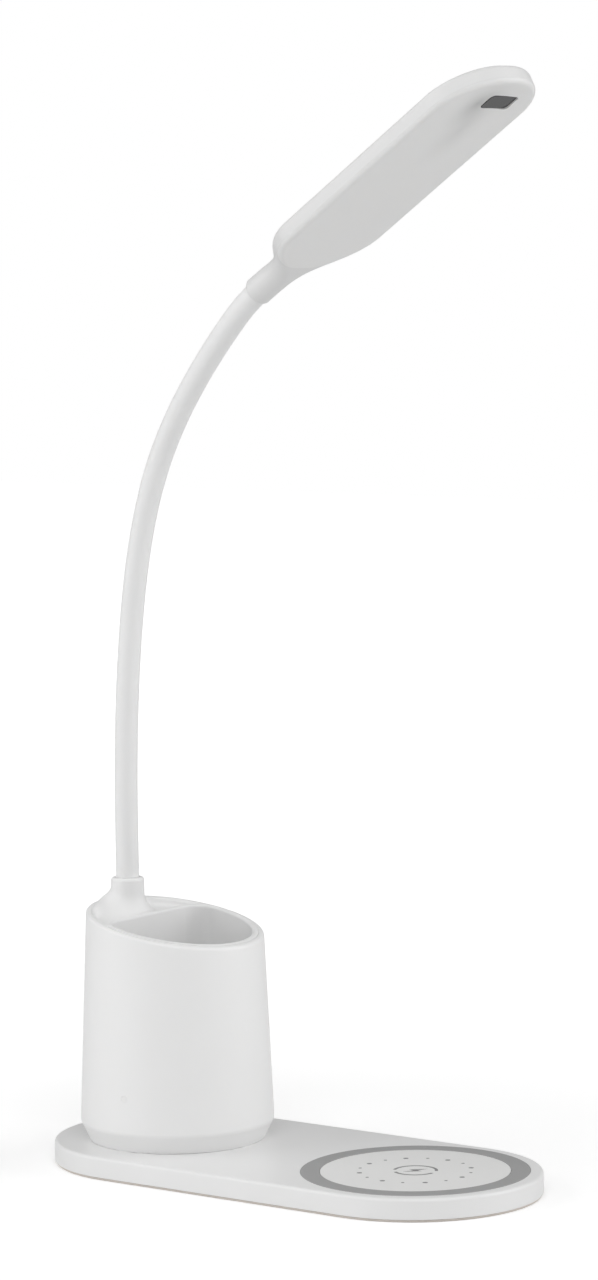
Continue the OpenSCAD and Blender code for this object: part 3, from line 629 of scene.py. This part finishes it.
def window_field(a, b, n):
    body = np.maximum(WINDOW_BACK - n, n - PANEL_T)
    return meet(window_distance(a, b, 0), body, 0.15)


def painted_shade_zone(material, centre, reach, darkest):
    """Paints shade into an oval of the panel: its colour darkens towards the oval's middle, as painted shade round
    the window's bowl.
    """
    tree = material.node_tree
    shader = next(n for n in tree.nodes if n.type == "BSDF_PRINCIPLED")
    colour = shader.inputs["Base Color"].links[0].from_socket
    place = next(n for n in tree.nodes if n.type == "TEX_COORD").outputs["Object"]
    at = head_points([(centre[0], centre[1], 0)])[0] * MM
    turn = Matrix((head_a, head_b, head_n)).transposed().to_euler()
    mapping = tree.nodes.new("ShaderNodeMapping")
    mapping.vector_type = "TEXTURE"
    mapping.inputs["Location"].default_value = at
    mapping.inputs["Rotation"].default_value = turn
    mapping.inputs["Scale"].default_value = (reach[0] * MM, reach[1] * MM, 1)
    tree.links.new(place, mapping.inputs["Vector"])
    oval = tree.nodes.new("ShaderNodeTexGradient")
    oval.gradient_type = "QUADRATIC_SPHERE"
    tree.links.new(mapping.outputs["Vector"], oval.inputs["Vector"])
    dim = tree.nodes.new("ShaderNodeMix")
    dim.data_type, dim.blend_type = "RGBA", "MULTIPLY"
    dim.inputs["B"].default_value = (darkest, darkest, darkest, 1)
    tree.links.new(oval.outputs["Fac"], dim.inputs["Factor"])
    tree.links.new(colour, dim.inputs["A"])
    tree.links.new(dim.outputs["Result"], shader.inputs["Base Color"])


head_grid = [steps(-48.2, (-46, 0.3), (-14, 0.4), (90, 0.8), (101, 0.5)),
             steps(-23, (-18, 0.4), (-7, 0.6), (7, 0.35), (18, 0.6), (23, 0.4)),
             steps(-2.0, (11.8, 0.3))]
verts, faces = contour(head_shell_field, head_grid)
piece("head_casing", head_points(verts), faces, "white_head", "head", ["head_shell"])

panel_grid = [steps(-22.6, (-12, 0.3), (64, 0.8), (101, 0.45)),
              steps(-22.6, (-18, 0.35), (18, 0.5), (22.6, 0.35)),
              steps(-0.5, (2.9, 0.2))]
verts, faces = contour(panel_field, panel_grid)
panel = piece("opal_panel", head_points(verts), faces, "panel_opal", "head", ["light_panel"])
panel_material = panel.data.materials[0]
# Painted shade: two ovals of the panel's colour darkened round the window's bowl, the first darker than the
# second.
painted_shade_zone(panel_material, (WINDOW[0] - 1, WINDOW[1] - 9), (19, 13), 0.62)
painted_shade_zone(panel_material, (WINDOW[0] - 16, WINDOW[1] - 5), (28, 11), 0.86)

window_grid = [steps(WINDOW[0] - 4.4, (WINDOW[0] + 4.4, 0.2)),
               steps(WINDOW[1] - 6.6, (WINDOW[1] + 6.6, 0.25)),
               steps(0.5, (2.0, 0.1))]
verts, faces = contour(window_field, window_grid)
piece("sensor_cover", head_points(verts), faces, "window_dark", "head", ["sensor_window"])


# ---- Cup ----

def cup_r(z):
    """Outer radius of the cup's wall at a height."""
    return CUP_BOTTOM_R + (CUP_TOP_R - CUP_BOTTOM_R) * (z - WALL_Z) / (RIM_Z - WALL_Z)


def cup_wall_piece():
    """The cup's thin wall, with a soft slanting rim and a rounded lower edge."""
    around = 144
    verts, count = [], 0
    for i in range(around):
        turn = 2 * math.pi * i / around
        rim = RIM_Z - RIM_TAN * CUP_TOP_R * math.cos(turn)
        low = WALL_Z + WALL_LIFT + FOOT_BEND * math.sin(math.radians(FOOT_TURN))
        outer = [(cup_r(low) + r, z)
                 for r, z in arc((-FOOT_BEND, low), FOOT_BEND, -FOOT_TURN, 0, 14)]
        heights = low + (rim - RIM_EDGE - low) * np.linspace(0, 1, 22)
        profile = outer[:-1] + [(cup_r(z), z) for z in heights]
        top = cup_r(rim - RIM_EDGE)
        edge = arc((-RIM_EDGE, rim - RIM_EDGE), RIM_EDGE, 8, 90, 9)
        edge += arc((RIM_INNER_EDGE - CUP_WALL, rim - RIM_INNER_EDGE), RIM_INNER_EDGE, 90, 180, 3)
        edge = [(top + r, z) for r, z in edge]
        profile += [(r, z - RIM_TAN * (r - top) * math.cos(turn)) for r, z in edge]
        profile += [(cup_r(z) - CUP_WALL, z) for z in heights[::-1]][1:]
        profile += [(r - FOOT_BEND_WALL, z) for r, z in outer[7::-1]]
        count = len(profile)
        verts += [(CUP_X + r * math.cos(turn), r * math.sin(turn), z) for r, z in profile]
    return verts, ring_faces(around, count)


def cut_round(obj, centre, direction, radius, length):
    """Cuts a round hole that starts at centre and runs along direction."""
    turn = np.linspace(0, 2 * math.pi, 48, endpoint=False)
    direction = np.asarray(direction, float)
    side = np.cross(direction, (0, 0, 1.0))
    side /= np.linalg.norm(side)
    up = np.cross(side, direction)
    ring = [np.asarray(centre) + radius * (math.cos(t) * side + math.sin(t) * up) for t in turn]
    verts = ring + [p + length * direction for p in ring]
    n = len(turn)
    faces = [tuple(range(n)), tuple(range(2 * n - 1, n - 1, -1))]
    faces += [(i, n + i, n + (i + 1) % n, (i + 1) % n) for i in range(n)]
    tool = add_object("cutter", verts, faces, obj.data.materials[0])
    cut = obj.modifiers.new("cut", "BOOLEAN")
    cut.object, cut.solver = tool, "EXACT"
    bpy.context.view_layer.update()
    depsgraph = bpy.context.evaluated_depsgraph_get()
    made = bpy.data.meshes.new_from_object(obj.evaluated_get(depsgraph))
    obj.modifiers.clear()
    obj.data = made
    made.shade_smooth()
    made.set_sharp_from_angle(angle=math.radians(SHARP))
    bpy.data.objects.remove(tool)


def screw_distance(x, y):
    """Distance from the nearest of the cup's screws, seen from above and from the cup's axis."""
    nearest = np.full_like(x, FAR)
    for angle in SCREW_ANGLES:
        t = math.radians(angle)
        away = np.hypot(x - SCREW_RING * math.cos(t), y - SCREW_RING * math.sin(t))
        nearest = np.minimum(nearest, away)
    return nearest


def foot_field(x, y, z):
    """The cup's foot: a shallow cone with a spigot on top, hollowed down to its floor."""
    x = x - CUP_X
    radius = np.hypot(x, y)
    cone = radius - FOOT_R - (FOOT_TOP_R - FOOT_R) * (z - BASE_TOP) / (WALL_Z - BASE_TOP)
    form = meet(meet(cone, BASE_TOP - z, FOOT_EDGE), z - WALL_Z, 0.05)
    spigot = np.maximum(WALL_Z - SPIGOT_LOW - z, z - WALL_Z - SPIGOT_HIGH)
    form = np.minimum(form, np.maximum(radius - SPIGOT_R, spigot))
    form = np.maximum(form, -np.maximum(radius - FOOT_INNER_R, BASE_TOP + FOOT_FLOOR - z))
    return np.maximum(form, -(screw_distance(x, y) - SCREW_HOLE_R))


foot_grid = [CUP_X + steps(-35.7, (35.7, 0.7)),
             steps(-35.7, (35.7, 0.7)),
             steps(7.9, (17.9, 0.4))]
verts, faces = contour(foot_field, foot_grid)
piece("cup_base", verts, faces, "white_cup", "base", ["cup_foot"])

verts, faces = cup_wall_piece()
cup_wall_obj = piece("cup_wall", verts, faces, "white_cup", "base", ["cup_shell"])
light_out = np.array([math.cos(LIGHT_ANGLE), math.sin(LIGHT_ANGLE), 0])
light_hole = np.array([CUP_X, 0, LIGHT_Z]) + LIGHT_HOLE_FROM * light_out
cut_round(cup_wall_obj, light_hole, light_out, LIGHT_HOLE_R, LIGHT_HOLE_LENGTH)


def pocket_distance(x, y):
    """Distance from the pocket's outline: a circle cut off by a flat wall, its corners rounded."""
    u = np.hypot(x, y) - (POCKET_R - POCKET_CORNER)
    v = -x - (POCKET_BACK - POCKET_CORNER)
    return cornered(u, v) - POCKET_CORNER


def insert_field(x, y, z):
    """The cup's insert: a sunk slanting deck, the ridge round the pocket, the lip and the boss."""
    x = x - CUP_X
    radius = np.hypot(x, y)
    wall = radius - (cup_r(z) - CUP_WALL - 0.02)
    plane = (z - (RIM_Z - RIM_TAN * x)) * math.cos(RIM_SLOPE)
    pocket = pocket_distance(x, y)
    deck = np.maximum(plane + DISH, -(plane + DISH + DECK))
    ridge = np.maximum(meet(pocket - POCKET_WALL, plane, RIDGE_EDGE), POCKET_Z - POCKET_WALL - z)
    lip = np.maximum(meet(-wall - LIP, plane, LIP_EDGE), -(plane + DISH + DECK))
    off = np.hypot(x + NECK_BACK, y)
    boss = np.maximum(meet(off - COLLAR_R, z - COLLAR_Z, COLLAR_EDGE), BOSS_END - z)
    near = np.clip(1 - (off - LIP_FILLET_NEAR) / LIP_FILLET_RUN, 0, 1)
    soft = LIP_FILLET + LIP_FILLET_GROWTH * near
    form = join(join(join(deck, boss, FLARE_R), ridge, RIDGE_FILLET), lip, soft)
    form = meet(form, wall, 0.04)
    form = meet(form, -np.maximum(pocket, POCKET_Z - z), POCKET_EDGE)
    posts = screw_distance(x, y)
    form = np.minimum(form, np.maximum(posts - POST_R, np.abs(z - POST_MIDDLE) - POST_HALF))
    form = np.maximum(form, -np.maximum(posts - POST_BORE_R, z - POST_BORE_TOP))
    form = meet(form, -np.maximum(off - (SLEEVE_R + 0.15), SEAT_Z - z), 0.3)
    return np.maximum(form, -(off - THREAD_R))


insert_grid = [CUP_X + steps(-33.4, (-7, 0.5), (33.4, 0.6)),
               steps(-33.4, (33.4, 0.5)),
               steps(9.6, (24, 0.8), (72, 2.4), (103, 0.42))]
verts, faces = contour(insert_field, insert_grid)
piece("cup_inner", verts, faces, "white_insert", "base", ["cup_insert"])


# ---- Mat ----

def mat_outline(inset):
    """Outline of the base's stadium, set in from its edge."""
    half, radius, count = (BASE_L - BASE_W) / 2, BASE_W / 2 - inset, 48
    return [(side * half + radius * math.sin(t) * side, radius * math.cos(t) * side)
            for side in (1, -1) for t in np.linspace(0, math.pi, count + 1)]


def mat_piece():
    """The rubber mat under the base, its edges slightly bevelled."""
    levels = [(MAT_INSET + MAT_EDGE, 0.0), (MAT_INSET, MAT_EDGE),
              (MAT_INSET, MAT_T - MAT_EDGE), (MAT_INSET + MAT_EDGE, MAT_T)]
    verts = [(x, y, z) for inset, z in levels for x, y in mat_outline(inset)]
    n = len(mat_outline(0))
    faces = [tuple(range(n)), tuple(range(4 * n - 1, 3 * n - 1, -1))]
    faces += [(j * n + i, (j + 1) * n + i, (j + 1) * n + (i + 1) % n, j * n + (i + 1) % n)
              for j in range(3) for i in range(n)]
    return verts, faces


verts, faces = mat_piece()
piece("foot_mat", verts, faces, "mat_rubber", "base", ["anti_slip_mat"])


# ---- Charging pad ----

profile = [(PAD_R + 0.05, PAD_SEAT), (PAD_R + 0.05, PAD_SEAT + 0.4)]
profile += arc((PAD_R + 0.55, RING_TOP - RING_EDGE), (0.45, RING_EDGE), 180, 90, 6)
profile += arc((RING_R - 0.6, RING_TOP - RING_EDGE), (0.6, RING_EDGE), 90, 0, 7)
profile += [(RING_R, PAD_SEAT)]
verts, faces = turned(profile[::-1], (PAD_X, 0), 160)
piece("ring_of_rubber", verts, faces, "ring_rubber", "base", ["grip_ring"])

PRINT = plastic("grey_print", (0.26, 0.26, 0.26), 0.5, 0.03, 0.2, 0.3)


def flat_mark(name, outlines):
    """Thin printed marks: closed outlines in the pad's plane, each lifted off it by a hair."""
    verts, faces = [], []
    for points in outlines:
        n, first = len(points), len(verts)
        verts += [(x, y, BASE_TOP - PRINT_SINK) for x, y in points]
        verts += [(x, y, BASE_TOP + PRINT_LIFT) for x, y in points]
        faces.append(tuple(first + n + i for i in range(n)))
        faces.append(tuple(first + n - 1 - i for i in range(n)))
        faces += [(first + i, first + (i + 1) % n, first + n + (i + 1) % n, first + n + i)
                  for i in range(n)]
    obj = add_object(name, verts, faces, PRINT, PRINT_SHARP)
    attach(obj, "base")


def circle(x, y, radius, count=24):
    turns = [2 * math.pi * i / count for i in range(count)]
    return [(x + radius * math.cos(t), y + radius * math.sin(t)) for t in turns]


def bent_bar(start, end, count=40):
    """Outline of a stretch of the icon's broken ring, from one angle in degrees to another."""
    outer = arc((PAD_X, 0), ICON_R + ICON_LINE / 2, start, end, count)
    inner = arc((PAD_X, 0), ICON_R - ICON_LINE / 2, start, end, count)
    return outer + inner[::-1]


dots = []
for i in range(DOT_COUNT):
    t = math.radians(360 / DOT_COUNT * i)
    dots.append(circle(PAD_X + DOT_CIRCLE_R * math.cos(t), DOT_CIRCLE_R * math.sin(t),
                       DOT_RADII[i % 2]))
flat_mark("printed_dots", dots)

bolt = [(PAD_X + x * math.cos(ICON_TURN) - y * math.sin(ICON_TURN),
         x * math.sin(ICON_TURN) + y * math.cos(ICON_TURN)) for x, y in BOLT]
flat_mark("printed_icon", [bent_bar(25, 205), bent_bar(232, 358), bolt])


# ---- Camera ----

CAMERA_AT = (939.08, -1249.78, 347.33)
CAMERA_YAW, CAMERA_PITCH, CAMERA_ROLL = (math.radians(v) for v in (36.77, 5.65, -0.77))
LENS = 124.85

forward = Vector((-math.sin(CAMERA_YAW) * math.cos(CAMERA_PITCH),
                  math.cos(CAMERA_YAW) * math.cos(CAMERA_PITCH), -math.sin(CAMERA_PITCH)))
level = Vector((math.cos(CAMERA_YAW), math.sin(CAMERA_YAW), 0))
upright = level.cross(forward)
right = math.cos(CAMERA_ROLL) * level + math.sin(CAMERA_ROLL) * upright
up = -math.sin(CAMERA_ROLL) * level + math.cos(CAMERA_ROLL) * upright
camera_data = bpy.data.cameras.new("camera")
camera_data.lens, camera_data.sensor_width, camera_data.sensor_fit = LENS, 36, "AUTO"
camera_data.clip_start, camera_data.clip_end = 0.05, 20
camera = bpy.data.objects.new("camera", camera_data)
camera.matrix_world = Matrix.Translation(Vector(CAMERA_AT) * MM) @ Matrix(
    (right, up, -forward)).transposed().to_4x4()
bpy.context.scene.collection.objects.link(camera)
bpy.context.scene.camera = camera


# ---- Studio, in metres ----

STUDIO_CENTRE = Vector((0, 0, 0.2))
TO_CAMERA, TO_RIGHT = Vector((0.6, -0.8, 0)), Vector((0.8, 0.6, 0))
SOFTBOX_DISTANCE = 2.4
SOFTBOX_SIZE = 1.8
# Name, turn from the camera's side, rise above the level, and watts
SOFTBOXES = (
    ("left_low", -90, 15, 14.4),
    ("left_front", -50, 15, 6.1),
    ("left_high", -90, 45, 8.6),
    ("right_low", 90, 15, 19.8),
    ("right_high", 90, 45, 7.2),
    ("front_high", 0, 45, 20.0),
    ("front_fill", 15, 15, 3.9),
)
AMBIENT = 0.305
# The floor's added light, which only the camera sees, grows with the distance from the lamp
FLOOR_LIFT = (0.28, 0.79)
FLOOR_LIFT_FROM, FLOOR_LIFT_TO = 0.15, 1.0
FLOOR_HALF = 3000


def softbox(name, turn, rise, watts):
    """Square softbox, with its turn to the right and its rise in degrees."""
    away, up_by = math.radians(turn), math.radians(rise)
    flat = TO_CAMERA * math.cos(away) + TO_RIGHT * math.sin(away)
    at = STUDIO_CENTRE + SOFTBOX_DISTANCE * (flat * math.cos(up_by)
                                             + Vector((0, 0, math.sin(up_by))))
    data = bpy.data.lights.new(name, "AREA")
    data.shape, data.size, data.size_y = "RECTANGLE", SOFTBOX_SIZE, SOFTBOX_SIZE
    data.energy = watts
    light = bpy.data.objects.new(name, data)
    light.location = at
    light.rotation_mode = "QUATERNION"
    light.rotation_quaternion = (STUDIO_CENTRE - at).to_track_quat("-Z", "Y")
    bpy.context.scene.collection.objects.link(light)


# The world: white where the camera sees it, and a soft ambient light for everything else
world = bpy.data.worlds.new("studio")
world.use_nodes = True
bpy.context.scene.world = world
tree = world.node_tree
tree.nodes.clear()
path = tree.nodes.new("ShaderNodeLightPath")
seen = tree.nodes.new("ShaderNodeBackground")
soft = tree.nodes.new("ShaderNodeBackground")
chosen = tree.nodes.new("ShaderNodeMixShader")
output = tree.nodes.new("ShaderNodeOutputWorld")
seen.inputs["Color"].default_value = (1, 1, 1, 1)
soft.inputs["Color"].default_value = (1, 1, 1, 1)
soft.inputs["Strength"].default_value = AMBIENT
tree.links.new(path.outputs["Is Camera Ray"], chosen.inputs["Fac"])
tree.links.new(soft.outputs["Background"], chosen.inputs[1])
tree.links.new(seen.outputs["Background"], chosen.inputs[2])
tree.links.new(chosen.outputs["Shader"], output.inputs["Surface"])

for name, turn, rise, watts in SOFTBOXES:
    softbox(name, turn, rise, watts)

floor_material, tree, shader, place = new_material("floor")
tree.links.new(mixed(tree, noise(tree, place, 6.0, 2.0), (0.84, 0.84, 0.84), (0.86, 0.86, 0.86)),
               shader.inputs["Base Color"])
shader.inputs["Roughness"].default_value = 0.9
shader.inputs["Specular IOR Level"].default_value = 0.0
glow = tree.nodes.new("ShaderNodeEmission")
path = tree.nodes.new("ShaderNodeLightPath")
away = tree.nodes.new("ShaderNodeVectorMath")
away.operation = "LENGTH"
tree.links.new(place, away.inputs[0])
lift = tree.nodes.new("ShaderNodeMapRange")
lift.inputs["From Min"].default_value = FLOOR_LIFT_FROM
lift.inputs["From Max"].default_value = FLOOR_LIFT_TO
lift.inputs["To Min"].default_value, lift.inputs["To Max"].default_value = FLOOR_LIFT
tree.links.new(away.outputs["Value"], lift.inputs["Value"])
strength = tree.nodes.new("ShaderNodeMath")
strength.operation = "MULTIPLY"
tree.links.new(lift.outputs["Result"], strength.inputs[1])
tree.links.new(path.outputs["Is Camera Ray"], strength.inputs[0])
tree.links.new(strength.outputs["Value"], glow.inputs["Strength"])
added = tree.nodes.new("ShaderNodeAddShader")
tree.links.new(shader.outputs["BSDF"], added.inputs[0])
tree.links.new(glow.outputs["Emission"], added.inputs[1])
out = next(n for n in tree.nodes if n.type == "OUTPUT_MATERIAL")
tree.links.new(added.outputs["Shader"], out.inputs["Surface"])
floor = add_object("floor", [(-FLOOR_HALF, -FLOOR_HALF, 0), (FLOOR_HALF, -FLOOR_HALF, 0),
                             (FLOOR_HALF, FLOOR_HALF, 0), (-FLOOR_HALF, FLOOR_HALF, 0)],
                   [(0, 1, 2, 3)], floor_material)

bpy.context.scene.view_settings.view_transform = "Standard"
